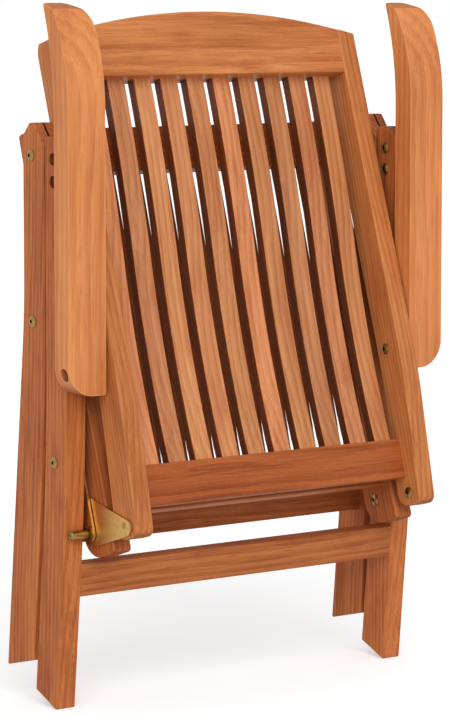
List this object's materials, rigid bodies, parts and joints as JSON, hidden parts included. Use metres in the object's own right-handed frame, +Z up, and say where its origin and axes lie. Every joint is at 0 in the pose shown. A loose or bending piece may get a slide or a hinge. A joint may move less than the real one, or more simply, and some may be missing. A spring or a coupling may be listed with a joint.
{
  "type": "folding armchair",
  "caption": "Folding slatted teak garden armchair, folded flat, with hinged legs, seat, back and arms that open together.",
  "frame": {"origin": "under the middle of the folded chair's bounding box, on the floor under the rear feet", "axes": "+Z up, +Y the way the open chair faces, +X the sitter's right"},
  "size_m": [0.575, 0.2473, 0.8513],
  "materials": {
    "frame_teak": "oiled teak, satin, reddish brown",
    "slat_teak": "oiled teak, satin",
    "armrest_teak": "oiled teak, satin, lighter and more golden",
    "brass": "brass plated, lightly tarnished",
    "plate_steel": "dull plate steel"
  },
  "bodies": {
    "rear_frame": {"rear_leg_left": "frame_teak", "rear_leg_right": "frame_teak", "rear_stretcher": "frame_teak", "leg_hinge_plate_left": "plate_steel", "leg_hinge_plate_right": "plate_steel", "hinge_plate_bolts": "brass", "link_pivot_bolts": "brass", "link_pivot_washers": "brass"},
    "front_frame": {"front_leg_left": "frame_teak", "front_leg_right": "frame_teak", "front_stretcher": "frame_teak", "leg_pivot_bolts": "brass", "seat_pivot_bolts": "brass"},
    "seat": {"seat_rail_left": "frame_teak", "seat_rail_right": "frame_teak", "seat_front_rail": "frame_teak", "seat_rear_rail": "frame_teak", "seat_slat_01": "slat_teak", "seat_slat_02": "slat_teak", "seat_slat_03": "slat_teak", "seat_slat_04": "slat_teak", "seat_slat_05": "slat_teak", "seat_slat_06": "slat_teak", "seat_slat_07": "slat_teak", "seat_slat_08": "slat_teak", "seat_slat_09": "slat_teak", "seat_slat_10": "slat_teak", "seat_bracket_left": "brass", "seat_bracket_right": "brass", "bracket_screws": "brass", "link_end_bolts": "brass", "back_pivot_bolts": "brass", "seat_pivot_spacers": "brass"},
    "back": {"back_stile_left": "frame_teak", "back_stile_right": "frame_teak", "back_crest_rail": "frame_teak", "back_bottom_rail": "frame_teak", "back_slat_01": "slat_teak", "back_slat_02": "slat_teak", "back_slat_03": "slat_teak", "back_slat_04": "slat_teak", "back_slat_05": "slat_teak", "back_slat_06": "slat_teak", "back_slat_07": "slat_teak", "back_slat_08": "slat_teak", "back_slat_09": "slat_teak", "back_slat_10": "slat_teak", "arm_pivot_bolts": "brass", "arm_pivot_washers": "brass"},
    "arm_left": {"armrest_left": "armrest_teak"},
    "arm_right": {"armrest_right": "armrest_teak"},
    "link_left": {"link_strap_left": "brass", "stub_pin_left": "brass"},
    "link_right": {"link_strap_right": "brass", "stub_pin_right": "brass"}
  },
  "joints": [
    {"name": "leg_fold", "type": "hinge", "parent": "rear_frame", "child": "front_frame", "pos_m": [0, 0.03834, 0.66931], "axis": [1, 0, 0], "range_deg": [0, 37]},
    {"name": "seat_fold", "type": "hinge", "parent": "front_frame", "child": "seat", "pos_m": [0, 0.03634, 0.46931], "axis": [1, 0, 0], "range_deg": [-79.8, 0]},
    {"name": "back_fold", "type": "hinge", "parent": "seat", "child": "back", "pos_m": [0, -0.10366, 0.23431], "axis": [1, 0, 0], "range_deg": [0, 96.3]},
    {"name": "arm_left_fold", "type": "hinge", "parent": "back", "child": "arm_left", "pos_m": [0, -0.05566, 0.41331], "axis": [1, 0, 0], "range_deg": [-110, 0]},
    {"name": "arm_right_fold", "type": "hinge", "parent": "back", "child": "arm_right", "pos_m": [0, -0.05566, 0.41331], "axis": [1, 0, 0], "range_deg": [-110, 0]},
    {"name": "link_left_fold", "type": "hinge", "parent": "rear_frame", "child": "link_left", "pos_m": [0, -0.00866, 0.30232], "axis": [1, 0, 0], "range_deg": [-122.6, 0]},
    {"name": "link_right_fold", "type": "hinge", "parent": "rear_frame", "child": "link_right", "pos_m": [0, -0.00866, 0.30232], "axis": [1, 0, 0], "range_deg": [-122.6, 0]}
  ],
  "couplings": [
    {"joint": "seat_fold", "follows": "leg_fold", "ratio": -2.1514},
    {"joint": "back_fold", "follows": "leg_fold", "ratio": 2.5973},
    {"joint": "arm_left_fold", "follows": "leg_fold", "ratio": -2.9676},
    {"joint": "arm_right_fold", "follows": "leg_fold", "ratio": -2.9676},
    {"joint": "link_left_fold", "follows": "leg_fold", "ratio": -3.3081},
    {"joint": "link_right_fold", "follows": "leg_fold", "ratio": -3.3081}
  ]
}
